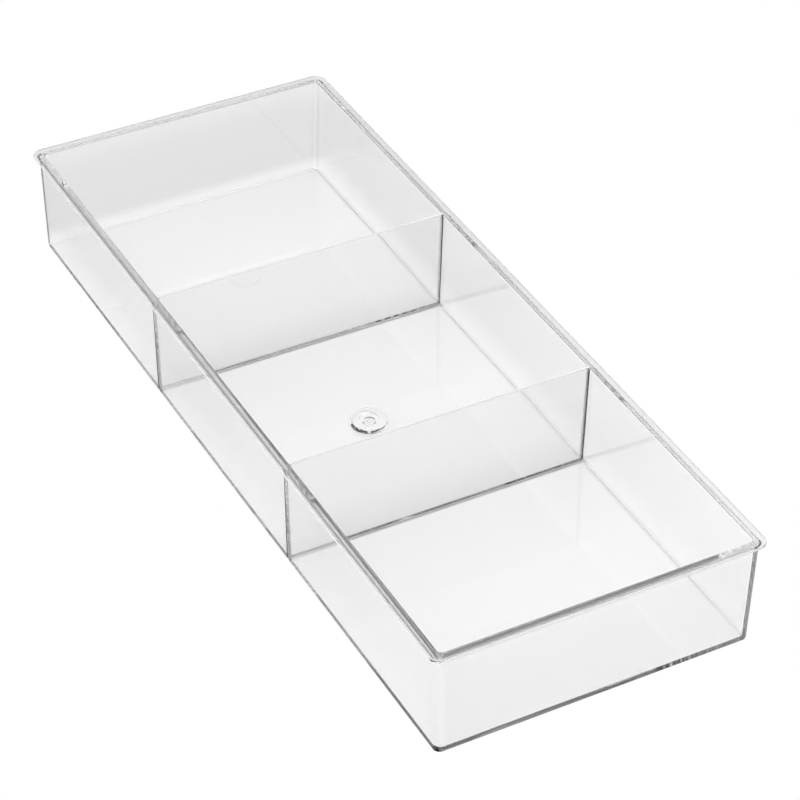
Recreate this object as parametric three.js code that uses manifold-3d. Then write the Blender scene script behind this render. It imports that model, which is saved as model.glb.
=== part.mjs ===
// Drawer organizer insert: a long, shallow, clear moulded tray with three open compartments.
// Millimetres. +X runs along the tray, +Y across it and +Z up; the origin is the middle of the
// underside. The tray is one moulding. Here it is cut into its regions (rim, wall panels, floor
// plates, dividers and gate boss), each a closed solid with a narrow seam to the next.
import * as THREE from "three";
import { mergeVertices } from "three/addons/utils/BufferGeometryUtils.js";
import Module from "manifold-3d";

const wasm = await Module();
wasm.setup();

// Overall size, over the rim.
const LENGTH = 394;
const WIDTH = 152;
const HEIGHT = 51;

// Rim: a flat flange with a rounded edge, standing out beyond the walls.
const RIM_OVERHANG = 2.8;
const RIM_THICKNESS = 0.9;
const RIM_EDGE_RADIUS = 0.4;
const RIM_FILLET = 1.5;
const MOUTH_EDGE_RADIUS = 0.3;

// Walls: they lean in slightly towards the foot. A draft is how far a face leans in, top to foot.
const WALL_THICKNESS = 2.3;
const WALL_CORNER_RADIUS = 3;
const LONG_WALL_DRAFT = 1.1;
const END_WALL_DRAFT = 0.4;
const BOTTOM_EDGE_RADIUS = 0.5;

// Compartments: three of equal length between two fixed dividers.
const FLOOR_THICKNESS = 1.5;
const FLOOR_FILLET = 0.4;
const INNER_CORNER_RADIUS = 2;
const DIVIDER_X = 64.6;
const DIVIDER_TOP_THICKNESS = 1.2;
const DIVIDER_FOOT_THICKNESS = 2.8;
const DIVIDER_EDGE_ROUND = 0.3;
const DIVIDER_CORNER_RADIUS = 1;

// Channels: half-round, up both long walls and under the floor, in line with each divider. On the
// walls they narrow to a share of their size at the foot, and end as a nick in the rim's edge.
const GROOVE_HALF_WIDTH = 0.8;
const GROOVE_DEPTH = 0.5;
const GROOVE_TOP_SHARE = 0.4;

// Gate boss: a low round boss in the middle of the middle floor, with a recess under it.
const BOSS_FOOT_RADIUS = 8.6;
const BOSS_TOP_RADIUS = 8.3;
const BOSS_EDGE_RADIUS = 0.3;
const BOSS_HEIGHT = 1.9;
const BOSS_DISH_RADIUS = 4.2;
const BOSS_DISH_DEPTH = 0.15;
const BOSS_RECESS_RADIUS = 3;
const BOSS_RECESS_HEIGHT = 0.8;
const BOSS_RECESS_TAPER = 0.2;
const GATE_NUB_RADIUS = 0.9;
const GATE_NUB_LENGTH = 0.5;

// How far a cutter is carried on past the face that it cuts, and one solid into the next.
const CUT_MARGIN = 1;
const OVERLAP = 0.1;

// Points of one solid that are closer together than this are one point.
const MERGE_DISTANCE = 1e-4;

// Regions: where the moulding is parted, and the seam left between two regions.
const SEAM = 0.3;
const DIVIDER_STRIP = 6;
const END_STRIP = 9;

// Fineness of the round stretches.
const CORNER_STEPS = 6;
const EDGE_STEPS = 3;
const CHANNEL_STEPS = 20;
const BOSS_SIDES = 48;

const RIM_UNDERSIDE_Z = HEIGHT - RIM_THICKNESS;
const WALL_TOP_Z = RIM_UNDERSIDE_Z - RIM_FILLET;
const OUTER_X = LENGTH / 2 - RIM_OVERHANG;
const OUTER_Y = WIDTH / 2 - RIM_OVERHANG;
const INNER_X = OUTER_X - WALL_THICKNESS;
const INNER_Y = OUTER_Y - WALL_THICKNESS;
const QUARTER = Math.PI / 2;

// The angles of a quarter turn, in equal steps.
function quarterAngles() {
  return Array.from({ length: EDGE_STEPS + 1 }, (_, step) => (QUARTER * step) / EDGE_STEPS);
}

// A level rounded rectangle, anticlockwise from above, as a ring of points.
function roundedRing({ z, lowX, highX, halfY, lowRadius, highRadius }) {
  const corners = [
    [highX - highRadius, halfY - highRadius, highRadius],
    [lowX + lowRadius, halfY - lowRadius, lowRadius],
    [lowX + lowRadius, lowRadius - halfY, lowRadius],
    [highX - highRadius, highRadius - halfY, highRadius],
  ];
  return corners.flatMap(([centreX, centreY, radius], quarter) =>
    Array.from({ length: CORNER_STEPS + 1 }, (_, step) => {
      const angle = QUARTER * (quarter + step / CORNER_STEPS);
      return [centreX + radius * Math.cos(angle), centreY + radius * Math.sin(angle), z];
    }),
  );
}

// A closed solid through a stack of rings, the lowest first, with a flat cap at each end.
function loft(rings) {
  const count = rings[0].length;
  const topStart = count * (rings.length - 1);
  const index = [];
  for (let start = 0; start < topStart; start += count) {
    for (let i = 0; i < count; i++) {
      const here = start + i;
      const next = start + ((i + 1) % count);
      index.push(here, next, next + count, here, next + count, here + count);
    }
  }
  for (let i = 1; i + 1 < count; i++) {
    index.push(0, i + 1, i, topStart, topStart + i, topStart + i + 1);
  }
  const geometry = new THREE.BufferGeometry();
  geometry.setAttribute("position", new THREE.Float32BufferAttribute(rings.flat(2), 3));
  geometry.setIndex(index);
  return solid(geometry);
}

// A manifold solid from a closed three.js geometry.
function solid(geometry) {
  const bare = geometry.clone();
  bare.deleteAttribute("normal");
  bare.deleteAttribute("uv");
  const merged = mergeVertices(bare, MERGE_DISTANCE);
  return new wasm.Manifold(
    new wasm.Mesh({
      numProp: 3,
      vertProperties: merged.attributes.position.array,
      triVerts: new Uint32Array(merged.index.array),
    }),
  );
}

// A box between two corners, as a solid.
function boxSolid(low, high) {
  const box = new THREE.Box3(new THREE.Vector3(...low), new THREE.Vector3(...high));
  const size = box.getSize(new THREE.Vector3());
  const centre = box.getCenter(new THREE.Vector3());
  return solid(new THREE.BoxGeometry(size.x, size.y, size.z).translate(centre.x, centre.y, centre.z));
}

function unite(solids) {
  return solids.reduce((whole, next) => whole.add(next));
}

// How far a drafted face has leaned in at height z, from 0 at the top of the wall.
function lean(draft, z) {
  return (draft * (WALL_TOP_Z - z)) / WALL_TOP_Z;
}

// One level of the tray's outside: `out` is how far it stands out beyond the wall's own face.
function outerRing(z, out) {
  const wallZ = Math.min(z, WALL_TOP_Z);
  const halfX = OUTER_X - lean(END_WALL_DRAFT, wallZ) + out;
  const radius = WALL_CORNER_RADIUS + out;
  return roundedRing({
    z,
    lowX: -halfX,
    highX: halfX,
    halfY: OUTER_Y - lean(LONG_WALL_DRAFT, wallZ) + out,
    lowRadius: radius,
    highRadius: radius,
  });
}

// The outside of the tray, filled: rounded bottom edge, drafted walls, fillet and flange.
function outerBody() {
  const bottomEdge = quarterAngles().map((angle) =>
    outerRing(
      BOTTOM_EDGE_RADIUS * (1 - Math.sin(angle)),
      BOTTOM_EDGE_RADIUS * (Math.cos(angle) - 1),
    ),
  );
  const fillet = quarterAngles().map((angle) =>
    outerRing(WALL_TOP_Z + RIM_FILLET * Math.sin(angle), RIM_FILLET * (1 - Math.cos(angle))),
  );
  const flangeFlat = RIM_OVERHANG - RIM_EDGE_RADIUS;
  const lowerEdge = quarterAngles().map((angle) =>
    outerRing(
      RIM_UNDERSIDE_Z + RIM_EDGE_RADIUS * (1 - Math.cos(angle)),
      flangeFlat + RIM_EDGE_RADIUS * Math.sin(angle),
    ),
  );
  const upperEdge = quarterAngles().map((angle) =>
    outerRing(
      HEIGHT - RIM_EDGE_RADIUS * (1 - Math.sin(angle)),
      flangeFlat + RIM_EDGE_RADIUS * Math.cos(angle),
    ),
  );
  return loft([...bottomEdge.reverse(), ...fillet, ...lowerEdge, ...upperEdge]);
}

// The hollow of compartment 0, 1 or 2, counted along +X. Only the outer two end in an end wall,
// with its rounder corners; all other ends are dividers, which thicken towards the foot.
function compartment(index) {
  const thickening = DIVIDER_FOOT_THICKNESS - DIVIDER_TOP_THICKNESS;
  const ring = (z, inset, dividerInset) => {
    const depth = 1 - Math.min(z, HEIGHT) / HEIGHT;
    const dividerHalf = (DIVIDER_TOP_THICKNESS + thickening * depth) / 2;
    const wallEnd = INNER_X - END_WALL_DRAFT * depth - inset;
    const dividerFace = DIVIDER_X - dividerHalf - dividerInset;
    const dividerBack = DIVIDER_X + dividerHalf + dividerInset;
    return roundedRing({
      z,
      lowX: [-wallEnd, -dividerFace, dividerBack][index],
      highX: [-dividerBack, dividerFace, wallEnd][index],
      halfY: INNER_Y - LONG_WALL_DRAFT * depth - inset,
      lowRadius: (index === 0 ? INNER_CORNER_RADIUS : DIVIDER_CORNER_RADIUS) - inset / 2,
      highRadius: (index === 2 ? INNER_CORNER_RADIUS : DIVIDER_CORNER_RADIUS) - inset / 2,
    });
  };
  const foot = quarterAngles().map((angle) => {
    const inset = FLOOR_FILLET * (1 - Math.sin(angle));
    return ring(FLOOR_THICKNESS + FLOOR_FILLET * (1 - Math.cos(angle)), inset, inset);
  });
  const mouth = quarterAngles().map((angle) => {
    const flare = 1 - Math.cos(angle);
    const z = HEIGHT - MOUTH_EDGE_RADIUS * (1 - Math.sin(angle));
    return ring(z, -MOUTH_EDGE_RADIUS * flare, -DIVIDER_EDGE_ROUND * flare);
  });
  const above = ring(HEIGHT + CUT_MARGIN, -MOUTH_EDGE_RADIUS, -DIVIDER_EDGE_ROUND);
  return loft([...foot, ...mouth, above]);
}

// A level ring of the channel's section, at a share of its full size.
function channelRing(x, y, z, share) {
  return Array.from({ length: CHANNEL_STEPS }, (_, step) => {
    const angle = (4 * QUARTER * step) / CHANNEL_STEPS;
    return [
      x + share * GROOVE_HALF_WIDTH * Math.cos(angle),
      y + share * GROOVE_DEPTH * Math.sin(angle),
      z,
    ];
  });
}

// How far out a long wall's outer face stands at height z.
function wallY(z) {
  return OUTER_Y - lean(LONG_WALL_DRAFT, z);
}

// The channels in line with one divider: up both long walls, across the underside, and the nicks.
function channels(x) {
  const cutters = [-1, 1].flatMap((side) => [
    loft([
      channelRing(x, side * wallY(-CUT_MARGIN), -CUT_MARGIN, 1),
      channelRing(x, side * wallY(0), 0, 1),
      channelRing(x, side * wallY(WALL_TOP_Z), WALL_TOP_Z, GROOVE_TOP_SHARE),
    ]),
    loft([
      channelRing(x, (side * WIDTH) / 2, WALL_TOP_Z, GROOVE_TOP_SHARE),
      channelRing(x, (side * WIDTH) / 2, HEIGHT + CUT_MARGIN, GROOVE_TOP_SHARE),
    ]),
  ]);
  const under = loft([channelRing(0, 0, -WIDTH, 1), channelRing(0, 0, WIDTH, 1)]);
  return unite([...cutters, under.rotate([90, 0, 0]).translate([x, 0, 0])]);
}

// A turned solid about +Z from [radius, z] pairs that start and end on the axis, lowest first.
function turned(profile) {
  const points = profile.map(([radius, z]) => new THREE.Vector2(radius, z));
  return solid(new THREE.LatheGeometry(points, BOSS_SIDES).rotateX(QUARTER));
}

// The gate boss: a disc with a dished top, a recess under it and the trimmed gate's nub.
function gateBoss() {
  const top = FLOOR_THICKNESS + BOSS_HEIGHT;
  const body = turned([
    [0, 0],
    [BOSS_FOOT_RADIUS, 0],
    [BOSS_FOOT_RADIUS, FLOOR_THICKNESS],
    [BOSS_TOP_RADIUS, top - BOSS_EDGE_RADIUS],
    [BOSS_TOP_RADIUS - BOSS_EDGE_RADIUS, top],
    [BOSS_DISH_RADIUS, top],
    [BOSS_DISH_RADIUS - BOSS_DISH_DEPTH, top - BOSS_DISH_DEPTH],
    [0, top - BOSS_DISH_DEPTH],
  ]);
  const recess = turned([
    [0, -CUT_MARGIN],
    [BOSS_RECESS_RADIUS, -CUT_MARGIN],
    [BOSS_RECESS_RADIUS, 0],
    [BOSS_RECESS_RADIUS - BOSS_RECESS_TAPER, BOSS_RECESS_HEIGHT],
    [0, BOSS_RECESS_HEIGHT],
  ]);
  const nub = turned([
    [0, BOSS_RECESS_HEIGHT - GATE_NUB_LENGTH],
    [GATE_NUB_RADIUS, BOSS_RECESS_HEIGHT - GATE_NUB_LENGTH],
    [GATE_NUB_RADIUS, BOSS_RECESS_HEIGHT + OVERLAP],
    [0, BOSS_RECESS_HEIGHT + OVERLAP],
  ]);
  return body.subtract(recess).add(nub);
}

// The hole that parts the gate boss from its floor.
function bossHole() {
  return turned([
    [0, -HEIGHT],
    [BOSS_FOOT_RADIUS + SEAM, -HEIGHT],
    [BOSS_FOOT_RADIUS + SEAM, HEIGHT],
    [0, HEIGHT],
  ]);
}

// The whole moulding, without its gate boss.
function moulding() {
  const hollows = [0, 1, 2].map(compartment);
  const cuts = [-DIVIDER_X, DIVIDER_X].map(channels);
  return outerBody().subtract(unite([...hollows, ...cuts, bossHole()]));
}

const CLEAR_PLASTIC = new THREE.MeshStandardMaterial({
  color: 0xf4f7f7,
  roughness: 0.05,
  metalness: 0,
  transparent: true,
  opacity: 0.3,
});

// A named mesh from a solid.
function mesh(name, region) {
  const { numProp, vertProperties, triVerts } = region.getMesh();
  const geometry = new THREE.BufferGeometry();
  geometry.setAttribute("position", new THREE.BufferAttribute(vertProperties.slice(), numProp));
  geometry.setIndex(new THREE.BufferAttribute(triVerts.slice(), 1));
  const shaded = geometry.toNonIndexed();
  shaded.computeVertexNormals();
  const part = new THREE.Mesh(shaded, CLEAR_PLASTIC);
  part.name = name;
  return part;
}

const tray = new THREE.Group();
const whole = moulding();

// Planes that part the regions. FAR lies beyond the tray on every side.
const FAR = LENGTH;
const GAP = SEAM / 2;
const END_X = OUTER_X - END_STRIP;
const STRIP_HALF = DIVIDER_STRIP / 2;
const WALL_FOOT_Y = INNER_Y - LONG_WALL_DRAFT - FLOOR_FILLET;
const ends = { left: -1, right: 1 };
const spans = {
  left: [-END_X, -DIVIDER_X - STRIP_HALF],
  middle: [STRIP_HALF - DIVIDER_X, DIVIDER_X - STRIP_HALF],
  right: [DIVIDER_X + STRIP_HALF, END_X],
};

// The space between two corners, drawn in by half a seam on every side.
function space(low, high) {
  return boxSolid(low.map((value) => value + GAP), high.map((value) => value - GAP));
}

// The rim: all that is above the wall panels, less the dividers' tops.
const plateY = INNER_Y - DIVIDER_CORNER_RADIUS;
const dividerTops = Object.values(ends).map((side) =>
  boxSolid(
    [side * DIVIDER_X - STRIP_HALF - GAP, -plateY - GAP, 0],
    [side * DIVIDER_X + STRIP_HALF + GAP, plateY + GAP, FAR],
  ),
);
const rimSpace = space([-FAR, -FAR, WALL_TOP_Z], [FAR, FAR, FAR]).subtract(unite(dividerTops));
tray.add(mesh("rim_flange", whole.intersect(rimSpace)));

// The end walls, with their rounded corners.
for (const [name, side] of Object.entries(ends)) {
  const [lowX, highX] = [side * END_X, side * FAR].sort((a, b) => a - b);
  const endSpace = space([lowX, -FAR, -FAR], [highX, FAR, WALL_TOP_Z]);
  tray.add(mesh(`end_wall_${name}`, whole.intersect(endSpace)));
}

// The long walls' panels and the floor plates, one set for each compartment.
for (const [name, [lowX, highX]] of Object.entries(spans)) {
  const frontSpace = space([lowX, -FAR, -FAR], [highX, -WALL_FOOT_Y, WALL_TOP_Z]);
  const backSpace = space([lowX, WALL_FOOT_Y, -FAR], [highX, FAR, WALL_TOP_Z]);
  const plateSpace = space([lowX, -WALL_FOOT_Y, -FAR], [highX, WALL_FOOT_Y, WALL_TOP_Z]);
  tray.add(mesh(`front_wall_${name}`, whole.intersect(frontSpace)));
  tray.add(mesh(`back_wall_${name}`, whole.intersect(backSpace)));
  tray.add(mesh(`floor_${name}`, whole.intersect(plateSpace)));
}

// The dividers, each with the strip of walls and floor that it stands on.
for (const [name, side] of Object.entries(ends)) {
  const lowX = side * DIVIDER_X - STRIP_HALF;
  const highX = side * DIVIDER_X + STRIP_HALF;
  const stripSpace = space([lowX, -FAR, -FAR], [highX, FAR, WALL_TOP_Z]);
  const plateSpace = space([lowX, -plateY, -FAR], [highX, plateY, FAR]);
  tray.add(mesh(`divider_${name}`, whole.intersect(stripSpace.add(plateSpace))));
}

tray.add(mesh("gate_boss", gateBoss()));

export default tray;
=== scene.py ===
"""The looks of the drawer organizer insert: one clear plastic moulding on a white table.

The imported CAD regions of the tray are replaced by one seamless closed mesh, because clear plastic
shows every joint inside it. Metres, in the frame of the CAD: +X along the tray, +Z up.
"""

import math

import bmesh
import bpy
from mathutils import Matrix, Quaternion, Vector
from mathutils.geometry import tessellate_polygon


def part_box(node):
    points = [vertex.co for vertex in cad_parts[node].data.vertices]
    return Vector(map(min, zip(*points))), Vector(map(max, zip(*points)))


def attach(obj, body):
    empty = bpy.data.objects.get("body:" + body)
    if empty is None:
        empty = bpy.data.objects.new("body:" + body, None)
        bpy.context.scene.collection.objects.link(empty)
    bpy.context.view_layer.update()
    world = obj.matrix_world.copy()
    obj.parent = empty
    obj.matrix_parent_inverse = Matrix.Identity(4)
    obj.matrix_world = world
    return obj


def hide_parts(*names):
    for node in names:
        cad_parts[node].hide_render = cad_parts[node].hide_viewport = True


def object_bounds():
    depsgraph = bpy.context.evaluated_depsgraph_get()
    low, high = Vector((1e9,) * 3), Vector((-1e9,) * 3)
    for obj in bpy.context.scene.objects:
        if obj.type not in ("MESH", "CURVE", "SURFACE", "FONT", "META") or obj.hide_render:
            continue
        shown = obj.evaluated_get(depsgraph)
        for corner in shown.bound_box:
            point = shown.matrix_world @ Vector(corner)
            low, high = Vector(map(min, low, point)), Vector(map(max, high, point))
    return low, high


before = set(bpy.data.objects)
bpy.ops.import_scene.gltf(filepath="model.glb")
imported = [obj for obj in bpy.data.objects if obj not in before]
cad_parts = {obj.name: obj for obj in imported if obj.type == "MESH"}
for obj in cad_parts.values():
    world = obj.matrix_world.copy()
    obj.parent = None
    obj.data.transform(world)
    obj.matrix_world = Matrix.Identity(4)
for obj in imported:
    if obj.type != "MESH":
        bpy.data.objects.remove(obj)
cad_low, cad_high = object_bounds()

MM = 0.001
QUARTER = math.pi / 2

# Sizes read from the frame.
HALF_LENGTH = cad_high.x
HALF_WIDTH = cad_high.y
HEIGHT = cad_high.z
FLOOR_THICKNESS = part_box("floor_left")[1].z
WALL_TOP_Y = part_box("divider_left")[1].y
DIVIDER_X = (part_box("divider_right")[0].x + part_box("divider_right")[1].x) / 2
BOSS_TOP_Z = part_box("gate_boss")[1].z

# Rim: a flat flange with a rounded edge.
RIM_THICKNESS = 0.9 * MM
RIM_EDGE_RADIUS = 0.4 * MM
RIM_FILLET = 1.5 * MM
MOUTH_EDGE_RADIUS = 0.3 * MM
RIM_OVERHANG = HALF_WIDTH - WALL_TOP_Y

# Walls, floor and dividers.
WALL_THICKNESS = 2.3 * MM
WALL_CORNER_RADIUS = 3.0 * MM
LONG_WALL_DRAFT = 1.1 * MM
END_WALL_DRAFT = 0.4 * MM
BOTTOM_EDGE_RADIUS = 0.5 * MM
FLOOR_FILLET = 0.4 * MM
INNER_CORNER_RADIUS = 2.0 * MM
DIVIDER_TOP_THICKNESS = 1.2 * MM
DIVIDER_FOOT_THICKNESS = 2.8 * MM
DIVIDER_EDGE_ROUND = 0.3 * MM
DIVIDER_CORNER_RADIUS = 1.0 * MM

# Channels outside the long walls and under the floor, in line with the dividers. They narrow
# upward.
GROOVE_HALF_WIDTH = 0.8 * MM
GROOVE_DEPTH = 0.5 * MM
GROOVE_TOP_SHARE = 0.4

# Gate boss, and the recess and nub under it.
BOSS_FOOT_RADIUS = 8.6 * MM
BOSS_TOP_RADIUS = 8.3 * MM
BOSS_EDGE_RADIUS = 0.3 * MM
BOSS_DISH_RADIUS = 4.2 * MM
BOSS_DISH_DEPTH = 0.15 * MM
BOSS_RECESS_RADIUS = 3.0 * MM
BOSS_RECESS_HEIGHT = 0.8 * MM
BOSS_RECESS_TAPER = 0.15 * MM
GATE_NUB_RADIUS = 0.9 * MM
GATE_NUB_LENGTH = 0.5 * MM

# Fineness of the round stretches.
CORNER_STEPS = 16
EDGE_STEPS = 8
GROOVE_STEPS = 16
BOSS_SIDES = 96
SHARP_ANGLE = math.radians(35)
FLAT_FACE_WEIGHT = 100

# Corner points are merged on a grid this fine.
POINT_GRID = 1e-7

# Clear polystyrene: its tint at the surface and its absorption through the bulk, per metre.
PLASTIC_IOR = 1.58
PLASTIC_TINT = (0.93, 0.93, 0.93, 1)
PLASTIC_ABSORPTION = 4.0

# Its faint moulded waves, and the thin bloom of handling where the noise is over BLOOM_FROM.
WAVE_SCALE = 40
WAVE_DETAIL = 1
WAVE_STRENGTH = 0.3
WAVE_DEPTH = 0.1 * MM
BLOOM_SCALE = 25
BLOOM_FROM = 0.5
BLOOM_TO = 0.8
BLOOM_ROUGHNESS = 0.05

# The satin edges, milky white as a painted highlight: the dividers' top edges and the rim's outer
# edge.
EDGE_HIGHLIGHT_TINT = (1, 1, 1, 1)
EDGE_TRANSMISSION = 0.3
EDGE_ROUGHNESS = 0.3
EDGE_BAND = 0.1 * MM

# Light: stops of (height of the direction, brightness) for the sky and for its window side. The
# window side fades in over WINDOW_EDGES, measured along WINDOW_SIDE.
SKY_STRENGTH = 1.16
SKY_STOPS = [(0, 0.08), (0.3, 0.15), (0.55, 0.25), (0.7, 0.45), (0.82, 1.7), (1, 1.7)]
WINDOW_STOPS = [(0, 0.7), (0.35, 0.8), (0.6, 0.8), (0.82, 1.7), (1, 1.7)]
WINDOW_SIDE = (-0.478, -0.878, 0)
WINDOW_EDGES = (-0.2, 0.6)

# Table: its painted shade over the distance from the tray's outline, as a share of the radius:
# darker round the tray and dark far away. The slope is painted light, brighter towards +X, from
# TABLE_EDGE outside the outline on.
TABLE_RADIUS = 3.0
TABLE_GAP = 0.4 * MM
TABLE_SIDES = 96
TABLE_SHADE_STOPS = [
    (0, 0.94), (0.0005, 0.77), (0.003, 0.81), (0.018, 0.81),
    (0.026, 0.94), (0.12, 0.9), (0.4, 0.2), (1, 0.1),
]
TABLE_EDGE = 12 * MM
TABLE_LIGHT_SLOPE = 0.6
TABLE_ROUGHNESS = 0.9

# The table's shading below is set to match the photo's greys; it isn't measured.
#
# Contact shadows under the walls nearest the photo's camera: the +X end wall's, and the -Y long
# wall's, which is deeper towards +X.
SHADOW_SOFT = 0.8 * MM
END_SHADOW_WIDTH = 2.6 * MM
END_SHADOW_INSET = -2.0 * MM
END_SHADOW_DEPTH = 0.5
SIDE_SHADOW_WIDTH = 3.0 * MM
SIDE_SHADOW_INSET = 1.0 * MM
SIDE_SHADOW_DEPTH = 0.7
SIDE_SHADOW_SLOPE = 3.0
SIDE_SHADOW_MOST = 0.75

# A faint glow of the table under the far walls, +Y and -X, where the photo is bright.
GLOW_WIDTH = 2.6 * MM
GLOW_INSET = 0.3 * MM
LONG_WALL_GLOW = 0.5
END_WALL_GLOW = 0.5

# Fine contact shadow under the inner foot of the far walls.
FOOT_LINE_HALF = 0.9 * MM
FOOT_LINE_OFFSET = 0.4 * MM
FOOT_LINE_DEPTH = 0.1

# Under the dividers: a narrow contact shadow, and a wide faint one on their -X side.
DIVIDER_SHADOW_HALF = 2.0 * MM
DIVIDER_SHADOW_DEPTH = 0.4
DIVIDER_SHADE_REACH = 22 * MM
DIVIDER_SHADE_DEPTH = 0.12

# Light that the plastic guides through its walls needs many bounces.
GLASS_BOUNCES = 48
DIFFUSE_BOUNCES = 6

# Camera: where it looks, from which direction and how far.
CAMERA_AZIMUTH = math.radians(61.42)
CAMERA_ELEVATION = math.radians(37.94)
CAMERA_ROLL = math.radians(0.82)
CAMERA_DISTANCE = 1.3314
CAMERA_TARGET = Vector((-0.00932, 0.02035, 0))
CAMERA_LENS = 134.47
CAMERA_SENSOR = 36

RIM_UNDERSIDE_Z = HEIGHT - RIM_THICKNESS
WALL_TOP_Z = RIM_UNDERSIDE_Z - RIM_FILLET
OUTER_X = HALF_LENGTH - RIM_OVERHANG
OUTER_Y = HALF_WIDTH - RIM_OVERHANG
INNER_X = OUTER_X - WALL_THICKNESS
INNER_Y = OUTER_Y - WALL_THICKNESS


class Surface:
    """Faces that share their corner points, for one closed mesh."""

    def __init__(self):
        self.points = []
        self.index = {}
        self.faces = []

    def corner(self, point):
        key = tuple(round(value / POINT_GRID) for value in point)
        if key not in self.index:
            self.index[key] = len(self.points)
            self.points.append(tuple(point))
        return self.index[key]

    def face(self, points):
        corners = []
        for point in points:
            corner = self.corner(point)
            if corner not in corners:
                corners.append(corner)
        if len(corners) > 2:
            self.faces.append(corners)

    def strip(self, ring_a, ring_b):
        """Quads between two closed rings with the same number of points."""
        for i, here in enumerate(ring_a):
            after = (i + 1) % len(ring_a)
            self.face([here, ring_a[after], ring_b[after], ring_b[i]])

    def stack(self, rings):
        for below, above in zip(rings, rings[1:]):
            self.strip(below, above)

    def flat_with_holes(self, rings):
        """A flat face inside the first ring and outside the others."""
        points = [point for ring in rings for point in ring]
        for triangle in tessellate_polygon([[Vector(p) for p in ring] for ring in rings]):
            self.face([points[i] for i in triangle])

    def mesh_object(self, name):
        mesh = bpy.data.meshes.new(name)
        mesh.from_pydata(self.points, [], self.faces)
        mesh.update()
        made = bpy.data.objects.new(name, mesh)
        bpy.context.scene.collection.objects.link(made)
        return made


def quarter_angles():
    return [QUARTER * step / EDGE_STEPS for step in range(EDGE_STEPS + 1)]


def groove_profile():
    """(offset from the channel's middle, depth) pairs across a half-round channel."""
    pairs = []
    for step in range(GROOVE_STEPS + 1):
        angle = math.pi * step / GROOVE_STEPS
        pairs.append((-GROOVE_HALF_WIDTH * math.cos(angle), GROOVE_DEPTH * math.sin(angle)))
    return pairs


GROOVE = groove_profile()


def corner_arc(centre_x, centre_y, radius, quarter):
    points = []
    for step in range(CORNER_STEPS + 1):
        angle = QUARTER * (quarter + step / CORNER_STEPS)
        points.append((centre_x + radius * math.cos(angle), centre_y + radius * math.sin(angle)))
    return points


def lean(draft, z):
    """How far a drafted outer face has leaned in at height z."""
    return draft * (WALL_TOP_Z - min(z, WALL_TOP_Z)) / WALL_TOP_Z


def groove_share(z):
    """The size of a channel at height z, as a share of its size at the foot."""
    return 1 - (1 - GROOVE_TOP_SHARE) * min(z, WALL_TOP_Z) / WALL_TOP_Z


def outer_ring(z, out, lifted=False):
    """One level of the outside, anticlockwise from above. `out` is how far it stands out beyond
    the wall's face, and a lifted level rises over the channels in the underside."""
    x = OUTER_X - lean(END_WALL_DRAFT, z) + out
    y = OUTER_Y - lean(LONG_WALL_DRAFT, z) + out
    radius = WALL_CORNER_RADIUS + out
    share = groove_share(z)
    groove = [(share * offset, share * depth) for offset, depth in GROOVE]
    ring = [(*p, z) for p in corner_arc(x - radius, y - radius, radius, 0)]
    for side in (1, -1):
        for offset, depth in reversed(groove):
            ring.append((side * DIVIDER_X + offset, y - depth, z + (depth if lifted else 0)))
    ring += [(*p, z) for p in corner_arc(radius - x, y - radius, radius, 1)]
    ring += [(*p, z) for p in corner_arc(radius - x, radius - y, radius, 2)]
    for side in (-1, 1):
        for offset, depth in groove:
            ring.append((side * DIVIDER_X + offset, depth - y, z + (depth if lifted else 0)))
    ring += [(*p, z) for p in corner_arc(x - radius, radius - y, radius, 3)]
    return ring


def outer_rings():
    """The outside from the underside's edge, up the wall and over the rim, to its top face."""
    rings = []
    for angle in reversed(quarter_angles()):
        z = BOTTOM_EDGE_RADIUS * (1 - math.sin(angle))
        rings.append(outer_ring(z, BOTTOM_EDGE_RADIUS * (math.cos(angle) - 1), lifted=True))
    for angle in quarter_angles():
        z = WALL_TOP_Z + RIM_FILLET * math.sin(angle)
        rings.append(outer_ring(z, RIM_FILLET * (1 - math.cos(angle))))
    flat = RIM_OVERHANG - RIM_EDGE_RADIUS
    for angle in quarter_angles():
        z = RIM_UNDERSIDE_Z + RIM_EDGE_RADIUS * (1 - math.cos(angle))
        rings.append(outer_ring(z, flat + RIM_EDGE_RADIUS * math.sin(angle)))
    for angle in quarter_angles():
        z = HEIGHT - RIM_EDGE_RADIUS * (1 - math.sin(angle))
        rings.append(outer_ring(z, flat + RIM_EDGE_RADIUS * math.cos(angle)))
    return rings


def hollow_ring(index, z, inset, divider_inset):
    """One level of compartment 0, 1 or 2, drawn in by `inset` from its drafted walls and by
    `divider_inset` from its dividers."""
    depth = 1 - z / HEIGHT
    divider_half = (
        DIVIDER_TOP_THICKNESS + (DIVIDER_FOOT_THICKNESS - DIVIDER_TOP_THICKNESS) * depth
    ) / 2
    wall_end = INNER_X - END_WALL_DRAFT * depth - inset
    near = DIVIDER_X - divider_half - divider_inset
    far = DIVIDER_X + divider_half + divider_inset
    low_x = (-wall_end, -near, far)[index]
    high_x = (-far, near, wall_end)[index]
    y = INNER_Y - LONG_WALL_DRAFT * depth - inset
    low_radius = (INNER_CORNER_RADIUS if index == 0 else DIVIDER_CORNER_RADIUS) - inset / 2
    high_radius = (INNER_CORNER_RADIUS if index == 2 else DIVIDER_CORNER_RADIUS) - inset / 2
    corners = (
        (high_x - high_radius, y - high_radius, high_radius),
        (low_x + low_radius, y - low_radius, low_radius),
        (low_x + low_radius, low_radius - y, low_radius),
        (high_x - high_radius, high_radius - y, high_radius),
    )
    ring = []
    for quarter, (centre_x, centre_y, radius) in enumerate(corners):
        ring += [(*p, z) for p in corner_arc(centre_x, centre_y, radius, quarter)]
    return ring


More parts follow.
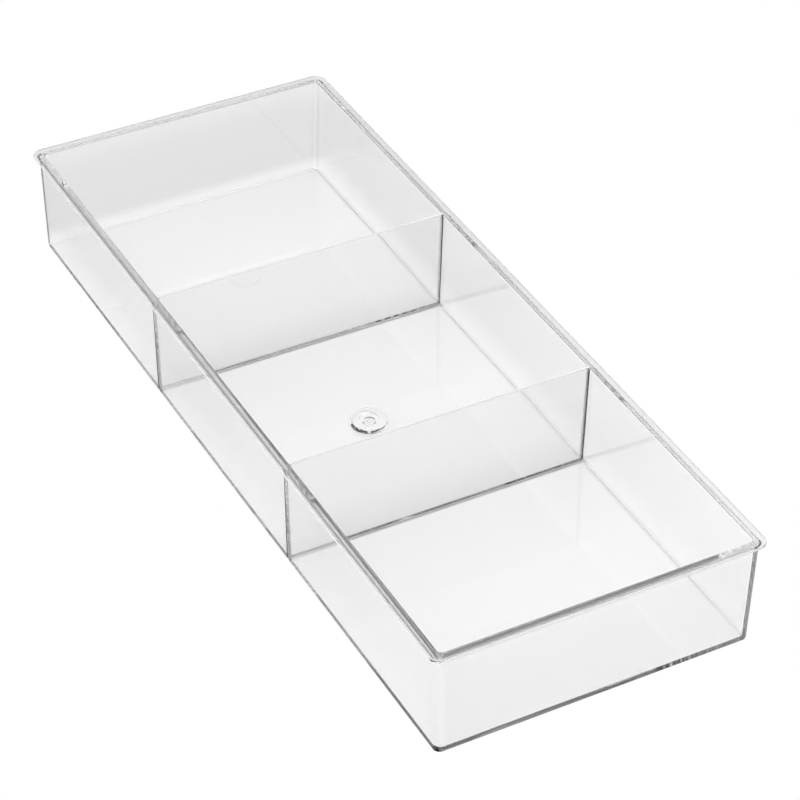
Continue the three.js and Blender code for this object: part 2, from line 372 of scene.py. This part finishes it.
def hollow_rings(index):
    """A compartment's faces, from the floor up to the mouth."""
    rings = []
    for angle in quarter_angles():
        z = FLOOR_THICKNESS + FLOOR_FILLET * (1 - math.cos(angle))
        inset = FLOOR_FILLET * (1 - math.sin(angle))
        rings.append(hollow_ring(index, z, inset, inset))
    for angle in quarter_angles():
        z = HEIGHT - MOUTH_EDGE_RADIUS * (1 - math.sin(angle))
        flare = 1 - math.cos(angle)
        rings.append(hollow_ring(index, z, -MOUTH_EDGE_RADIUS * flare, -DIVIDER_EDGE_ROUND * flare))
    return rings


def circle(radius, z):
    angles = [2 * math.pi * i / BOSS_SIDES for i in range(BOSS_SIDES)]
    return [(radius * math.cos(angle), radius * math.sin(angle), z) for angle in angles]


def rounded_edge(radius, z, edge):
    """Circles round the convex edge between a cylinder and the flat face on it."""
    rings = []
    for angle in quarter_angles():
        rings.append(
            circle(radius - edge * (1 - math.cos(angle)), z - edge * (1 - math.sin(angle)))
        )
    return rings


def add_boss(surface):
    """The gate boss on the floor, with its dished top."""
    dish_z = BOSS_TOP_Z - BOSS_DISH_DEPTH
    rings = [
        circle(BOSS_FOOT_RADIUS, FLOOR_THICKNESS),
        *rounded_edge(BOSS_TOP_RADIUS, BOSS_TOP_Z, BOSS_EDGE_RADIUS),
        circle(BOSS_DISH_RADIUS + BOSS_DISH_DEPTH, BOSS_TOP_Z),
        circle(BOSS_DISH_RADIUS, dish_z),
    ]
    surface.stack(rings)
    surface.face(rings[-1])


def add_recess(surface):
    """The recess under the gate boss, with the nub of the trimmed gate."""
    nub_z = BOSS_RECESS_HEIGHT - GATE_NUB_LENGTH
    rings = [
        circle(BOSS_RECESS_RADIUS, 0),
        circle(BOSS_RECESS_RADIUS - BOSS_RECESS_TAPER, BOSS_RECESS_HEIGHT),
        circle(GATE_NUB_RADIUS, BOSS_RECESS_HEIGHT),
        circle(GATE_NUB_RADIUS, nub_z),
    ]
    surface.stack(rings)
    surface.face(rings[-1])


def add_underside(surface, ring):
    """The flat underside and its two channels, inside the lowest ring of the outside."""
    margin = GROOVE_HALF_WIDTH / GROOVE_STEPS ** 2
    edge = GROOVE_HALF_WIDTH + margin
    back = sorted(p for p in ring if p[1] > 0 and abs(abs(p[0]) - DIVIDER_X) < edge)
    front = sorted(p for p in ring if p[1] < 0 and abs(abs(p[0]) - DIVIDER_X) < edge)
    for side in (-1, 1):
        span = [(f, b) for f, b in zip(front, back) if side * f[0] > 0]
        for (front_a, back_a), (front_b, back_b) in zip(span, span[1:]):
            surface.face([front_a, back_a, back_b, front_b])
    surface.face([p for p in ring if p[0] < margin - DIVIDER_X - GROOVE_HALF_WIDTH])
    surface.face([p for p in ring if p[0] > DIVIDER_X + GROOVE_HALF_WIDTH - margin])
    x = DIVIDER_X - GROOVE_HALF_WIDTH
    y = max(p[1] for p in ring)
    panel = [(-x, -y, 0), (x, -y, 0), (x, y, 0), (-x, y, 0)]
    surface.flat_with_holes([panel, circle(BOSS_RECESS_RADIUS, 0)])


def tray():
    """The whole moulding as one closed mesh."""
    surface = Surface()
    outside = outer_rings()
    surface.stack(outside)
    add_underside(surface, outside[0])
    mouths = []
    for index in range(3):
        rings = hollow_rings(index)
        surface.stack(rings)
        mouths.append(rings[-1])
        if index == 1:
            surface.flat_with_holes([rings[0], circle(BOSS_FOOT_RADIUS, FLOOR_THICKNESS)])
        else:
            surface.face(rings[0])
    surface.flat_with_holes([outside[-1], *mouths])
    add_boss(surface)
    add_recess(surface)
    return surface.mesh_object("tray_moulding")


def finish_mesh(piece):
    """Faces turned outward, smooth over the rounds and exact on the flats."""
    work = bmesh.new()
    work.from_mesh(piece.data)
    bmesh.ops.recalc_face_normals(work, faces=work.faces)
    work.to_mesh(piece.data)
    work.free()
    for polygon in piece.data.polygons:
        polygon.use_smooth = True
    piece.data.set_sharp_from_angle(angle=SHARP_ANGLE)
    weighted = piece.modifiers.new("flat_faces_rule", "WEIGHTED_NORMAL")
    weighted.mode = "FACE_AREA"
    weighted.weight = FLAT_FACE_WEIGHT
    weighted.keep_sharp = True


def is_satin_highlight(centre):
    """True on the dividers' top edges and round the flange's outer edge."""
    on_divider = centre.z > HEIGHT - EDGE_BAND and abs(centre.y) < INNER_Y
    on_divider = on_divider and abs(abs(centre.x) - DIVIDER_X) < DIVIDER_TOP_THICKNESS
    beyond = max(abs(centre.x) - OUTER_X, abs(centre.y) - OUTER_Y)
    return on_divider or beyond > RIM_OVERHANG - RIM_EDGE_RADIUS


def add_surface_life(material, shader):
    """The faint waviness of moulded faces, and a thin, uneven bloom of handling."""
    nodes = material.node_tree.nodes
    links = material.node_tree.links
    place = nodes.new("ShaderNodeTexCoord")
    waves = nodes.new("ShaderNodeTexNoise")
    waves.inputs["Scale"].default_value = WAVE_SCALE
    waves.inputs["Detail"].default_value = WAVE_DETAIL
    links.new(place.outputs["Object"], waves.inputs["Vector"])
    bump = nodes.new("ShaderNodeBump")
    bump.inputs["Strength"].default_value = WAVE_STRENGTH
    bump.inputs["Distance"].default_value = WAVE_DEPTH
    links.new(waves.outputs["Fac"], bump.inputs["Height"])
    links.new(bump.outputs["Normal"], shader.inputs["Normal"])
    bloom = nodes.new("ShaderNodeTexNoise")
    bloom.inputs["Scale"].default_value = BLOOM_SCALE
    links.new(place.outputs["Object"], bloom.inputs["Vector"])
    amount = nodes.new("ShaderNodeMapRange")
    amount.inputs["From Min"].default_value = BLOOM_FROM
    amount.inputs["From Max"].default_value = BLOOM_TO
    amount.inputs["To Max"].default_value = BLOOM_ROUGHNESS
    links.new(bloom.outputs["Fac"], amount.inputs["Value"])
    links.new(amount.outputs["Result"], shader.inputs["Roughness"])


def clear_plastic():
    """Clear polystyrene with polished faces and a trace of tint."""
    material = bpy.data.materials.new("clear_plastic")
    material.use_nodes = True
    shader = material.node_tree.nodes["Principled BSDF"]
    shader.inputs["Base Color"].default_value = PLASTIC_TINT
    shader.inputs["Transmission Weight"].default_value = 1
    shader.inputs["IOR"].default_value = PLASTIC_IOR
    shader.inputs["Roughness"].default_value = 0
    add_surface_life(material, shader)
    absorb = material.node_tree.nodes.new("ShaderNodeVolumeAbsorption")
    absorb.inputs["Color"].default_value = (0, 0, 0, 1)
    absorb.inputs["Density"].default_value = PLASTIC_ABSORPTION
    output = material.node_tree.nodes["Material Output"]
    material.node_tree.links.new(absorb.outputs["Volume"], output.inputs["Volume"])
    return material


def satin_highlight_plastic():
    """The same plastic, satin, and milky white as a painted highlight, for the edges that show
    white in the photo.
    """
    material = clear_plastic()
    material.name = "clear_plastic_edge"
    shader = material.node_tree.nodes["Principled BSDF"]
    # Milky white: a painted highlight; the satin roughness is the plastic's own.
    shader.inputs["Base Color"].default_value = EDGE_HIGHLIGHT_TINT
    shader.inputs["Transmission Weight"].default_value = EDGE_TRANSMISSION
    for link in list(shader.inputs["Roughness"].links):
        material.node_tree.links.remove(link)
    shader.inputs["Roughness"].default_value = EDGE_ROUGHNESS
    return material


def dress(piece):
    piece.data.materials.append(clear_plastic())
    piece.data.materials.append(satin_highlight_plastic())
    for polygon in piece.data.polygons:
        polygon.material_index = int(is_satin_highlight(polygon.center))


def ramp_node(nodes, stops):
    """A grey colour ramp through (position, brightness) stops."""
    ramp = nodes.new("ShaderNodeValToRGB")
    elements = ramp.color_ramp.elements
    for element, (position, value) in zip(elements, (stops[0], stops[-1])):
        element.position = position
        element.color = (value, value, value, 1)
    for position, value in stops[1:-1]:
        elements.new(position).color = (value, value, value, 1)
    return ramp


def math_node(nodes, links, operation, *values):
    """A Math node whose inputs are sockets or plain numbers; returns its result."""
    node = nodes.new("ShaderNodeMath")
    node.operation = operation
    for socket, value in zip(node.inputs, values):
        if isinstance(value, (int, float)):
            socket.default_value = value
        else:
            links.new(value, socket)
    return node.outputs["Value"]


def sky():
    """Soft light: a bright ceiling, and dim all round below it. Seen directly it is plain white."""
    world = bpy.data.worlds.new("studio")
    bpy.context.scene.world = world
    world.use_nodes = True
    nodes = world.node_tree.nodes
    links = world.node_tree.links
    place = nodes.new("ShaderNodeTexCoord")
    split = nodes.new("ShaderNodeSeparateXYZ")
    links.new(place.outputs["Generated"], split.inputs["Vector"])
    side = nodes.new("ShaderNodeVectorMath")
    side.operation = "DOT_PRODUCT"
    side.inputs[1].default_value = WINDOW_SIDE
    links.new(place.outputs["Generated"], side.inputs[0])
    window = nodes.new("ShaderNodeMapRange")
    window.interpolation_type = "SMOOTHSTEP"
    window.inputs["From Min"].default_value = WINDOW_EDGES[0]
    window.inputs["From Max"].default_value = WINDOW_EDGES[1]
    links.new(side.outputs["Value"], window.inputs["Value"])
    mixed = nodes.new("ShaderNodeMix")
    mixed.data_type = "RGBA"
    links.new(window.outputs["Result"], mixed.inputs["Factor"])
    for socket, stops in (("A", SKY_STOPS), ("B", WINDOW_STOPS)):
        ramp = ramp_node(nodes, stops)
        links.new(split.outputs["Z"], ramp.inputs["Fac"])
        links.new(ramp.outputs["Color"], mixed.inputs[socket])
    light = nodes["Background"]
    links.new(mixed.outputs["Result"], light.inputs["Color"])
    light.inputs["Strength"].default_value = SKY_STRENGTH
    wall = nodes.new("ShaderNodeBackground")
    wall.inputs["Color"].default_value = (1, 1, 1, 1)
    rays = nodes.new("ShaderNodeLightPath")
    choose = nodes.new("ShaderNodeMixShader")
    links.new(rays.outputs["Is Camera Ray"], choose.inputs["Fac"])
    links.new(light.outputs["Background"], choose.inputs[1])
    links.new(wall.outputs["Background"], choose.inputs[2])
    links.new(choose.outputs["Shader"], nodes["World Output"].inputs["Surface"])


def table_material():
    """Matt white, with contact shadows and a faint glow under the tray, a little darker round it
    and dark far away. Seen directly it is plain white; the shading shows through the plastic and
    in its reflections."""
    material = bpy.data.materials.new("table_white")
    material.use_nodes = True
    nodes = material.node_tree.nodes
    links = material.node_tree.links
    point = nodes.new("ShaderNodeNewGeometry")
    split = nodes.new("ShaderNodeSeparateXYZ")
    links.new(point.outputs["Position"], split.inputs["Vector"])

    def calc(operation, *values):
        return math_node(nodes, links, operation, *values)

    beyond = []
    for axis, half in (("X", OUTER_X), ("Y", OUTER_Y)):
        past = calc("SUBTRACT", calc("ABSOLUTE", split.outputs[axis]), half)
        beyond.append(calc("MAXIMUM", past, 0.0))
    squares = [calc("MULTIPLY", past, past) for past in beyond]
    distance = calc("SQRT", calc("ADD", *squares))
    # Painted shade: the table's colour darkens round the tray and far away.
    ramp = ramp_node(nodes, TABLE_SHADE_STOPS)
    links.new(calc("DIVIDE", distance, TABLE_RADIUS), ramp.inputs["Fac"])
    outside = calc("MINIMUM", calc("DIVIDE", distance, TABLE_EDGE), 1.0)
    # Painted light: the table's colour grows brighter towards +X outside the outline.
    slope = calc("MULTIPLY", calc("MULTIPLY", split.outputs["X"], TABLE_LIGHT_SLOPE), outside)
    painted_light_and_shade = calc("ADD", slope, 1.0)

    def soft_edge(depth):
        """0 outside a shadow's edge, and 1 from SHADOW_SOFT inside it on."""
        return calc("MINIMUM", calc("MAXIMUM", calc("DIVIDE", depth, SHADOW_SOFT), 0.0), 1.0)

    def strip(axis, sign, half, width, inset):
        """1 on a strip of table along one edge of the footprint, else 0."""
        place = calc("MULTIPLY", split.outputs[axis], sign)
        inward = calc("SUBTRACT", place, half - width)
        outward = calc("SUBTRACT", half - inset, place)
        return soft_edge(calc("MINIMUM", inward, outward))

    inside = calc("SUBTRACT", 1.0, calc("MINIMUM", calc("DIVIDE", distance, SHADOW_SOFT), 1.0))
    along = calc("ADD", calc("MULTIPLY", split.outputs["X"], SIDE_SHADOW_SLOPE), SIDE_SHADOW_DEPTH)
    along = calc("MAXIMUM", calc("MINIMUM", along, SIDE_SHADOW_MOST), 0.0)
    side_strip = strip("Y", -1, OUTER_Y, SIDE_SHADOW_WIDTH, SIDE_SHADOW_INSET)
    side_shadow = calc("MULTIPLY", side_strip, along)
    end_strip = strip("X", 1, OUTER_X, END_SHADOW_WIDTH, END_SHADOW_INSET)
    end_shadow = calc("MULTIPLY", end_strip, END_SHADOW_DEPTH)
    dark = calc("MAXIMUM", side_shadow, end_shadow)
    for x in (-DIVIDER_X, DIVIDER_X):
        ahead = calc("SUBTRACT", split.outputs["X"], x)
        off = calc("SUBTRACT", DIVIDER_SHADOW_HALF, calc("ABSOLUTE", ahead))
        dark = calc("MAXIMUM", dark, calc("MULTIPLY", soft_edge(off), DIVIDER_SHADOW_DEPTH))
        near = calc("MAXIMUM", calc("ADD", calc("DIVIDE", ahead, DIVIDER_SHADE_REACH), 1.0), 0.0)
        behind = calc("MULTIPLY", near, calc("LESS_THAN", ahead, 0.0))
        dark = calc("MAXIMUM", dark, calc("MULTIPLY", behind, DIVIDER_SHADE_DEPTH))
    feet = (("Y", 1, INNER_Y - LONG_WALL_DRAFT), ("X", -1, INNER_X - END_WALL_DRAFT))
    for axis, sign, foot in feet:
        place = calc("MULTIPLY", split.outputs[axis], sign)
        aside = calc("ABSOLUTE", calc("SUBTRACT", place, foot + FOOT_LINE_OFFSET))
        line = soft_edge(calc("SUBTRACT", FOOT_LINE_HALF, aside))
        dark = calc("MAXIMUM", dark, calc("MULTIPLY", line, FOOT_LINE_DEPTH))
    dark = calc("MULTIPLY", dark, inside)
    painted_light_and_shade = calc("MULTIPLY", painted_light_and_shade, calc("SUBTRACT", 1.0, dark))
    shade = nodes.new("ShaderNodeMix")
    shade.data_type = "RGBA"
    shade.blend_type = "MULTIPLY"
    shade.inputs["Factor"].default_value = 1
    links.new(ramp.outputs["Color"], shade.inputs["A"])
    links.new(painted_light_and_shade, shade.inputs["B"])
    shader = nodes["Principled BSDF"]
    links.new(shade.outputs["Result"], shader.inputs["Base Color"])
    shader.inputs["Roughness"].default_value = TABLE_ROUGHNESS
    shader.inputs["Specular IOR Level"].default_value = 0.0
    long_strip = strip("Y", 1, OUTER_Y, GLOW_WIDTH, GLOW_INSET)
    end_strip = strip("X", -1, OUTER_X, GLOW_WIDTH, GLOW_INSET)
    long_glow = calc("MULTIPLY", long_strip, LONG_WALL_GLOW)
    end_glow = calc("MULTIPLY", end_strip, END_WALL_GLOW)
    glow = calc("MULTIPLY", calc("MAXIMUM", long_glow, end_glow), inside)
    shader.inputs["Emission Color"].default_value = (1, 1, 1, 1)
    links.new(glow, shader.inputs["Emission Strength"])
    white = nodes.new("ShaderNodeEmission")
    white.inputs["Color"].default_value = (1, 1, 1, 1)
    rays = nodes.new("ShaderNodeLightPath")
    choose = nodes.new("ShaderNodeMixShader")
    links.new(rays.outputs["Is Camera Ray"], choose.inputs["Fac"])
    links.new(shader.outputs["BSDF"], choose.inputs[1])
    links.new(white.outputs["Emission"], choose.inputs[2])
    links.new(choose.outputs["Shader"], nodes["Material Output"].inputs["Surface"])
    return material


def studio():
    """A white table under a soft sky."""
    sky()
    bpy.ops.mesh.primitive_circle_add(
        vertices=TABLE_SIDES, radius=TABLE_RADIUS, fill_type="NGON", location=(0, 0, -TABLE_GAP)
    )
    table = bpy.context.active_object
    table.name = "table"
    table.data.materials.append(table_material())
    scene = bpy.context.scene
    scene.view_settings.view_transform = "Standard"
    scene.cycles.max_bounces = GLASS_BOUNCES
    scene.cycles.glossy_bounces = GLASS_BOUNCES
    scene.cycles.transmission_bounces = GLASS_BOUNCES
    scene.cycles.diffuse_bounces = DIFFUSE_BOUNCES
    scene.cycles.blur_glossy = 0


def camera():
    """A long lens, looking down at the tray from past its +X end."""
    back = Vector((
        math.sin(CAMERA_AZIMUTH) * math.cos(CAMERA_ELEVATION),
        -math.cos(CAMERA_AZIMUTH) * math.cos(CAMERA_ELEVATION),
        math.sin(CAMERA_ELEVATION),
    ))
    data = bpy.data.cameras.new("camera")
    data.sensor_width = CAMERA_SENSOR
    data.lens = CAMERA_LENS
    made = bpy.data.objects.new("camera", data)
    bpy.context.scene.collection.objects.link(made)
    made.location = CAMERA_TARGET + back * CAMERA_DISTANCE
    made.rotation_mode = "QUATERNION"
    made.rotation_quaternion = back.to_track_quat("Z", "Y") @ Quaternion((0, 0, 1), CAMERA_ROLL)
    bpy.context.scene.camera = made


camera()
studio()
moulding = tray()
finish_mesh(moulding)
dress(moulding)
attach(moulding, "root")
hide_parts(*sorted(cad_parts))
